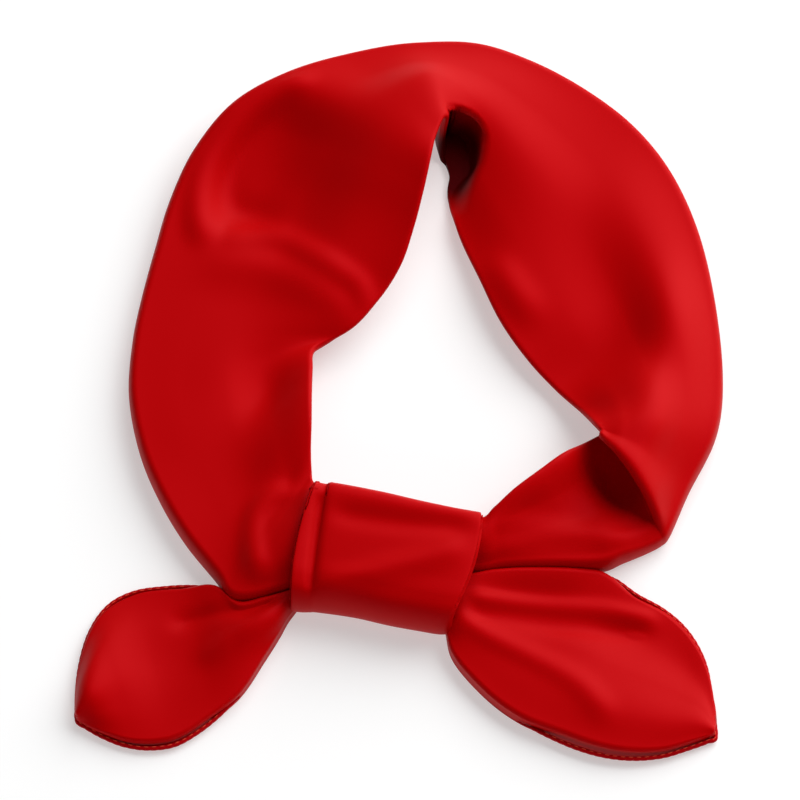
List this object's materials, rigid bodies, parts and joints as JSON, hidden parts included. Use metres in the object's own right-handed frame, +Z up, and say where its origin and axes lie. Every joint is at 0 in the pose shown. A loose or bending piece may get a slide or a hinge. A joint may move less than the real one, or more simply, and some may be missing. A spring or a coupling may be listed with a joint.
{
  "type": "knotted neck scarf",
  "caption": "Small satin square folded to a band, laid in a ring and tied in a wide flat wrap knot, with leaf-shaped hemmed ends.",
  "frame": {"origin": "on the surface that the scarf rests on, below the middle of its box", "axes": "+Z up from the surface, +Y from the knot across the ring, +X to the right seen from the knot's side"},
  "size_m": [0.181, 0.221, 0.0275],
  "materials": {
    "satin": "smooth crimson satin with a soft sheen",
    "hem": "rolled hem of the same satin, sewn with matching thread"
  },
  "bodies": {
    "root": {"neck_band": "satin", "knot_wrap": "satin", "left_end": "satin", "left_end_hem": "hem", "right_end": "satin", "right_end_hem": "hem"}
  },
  "joints": []
}
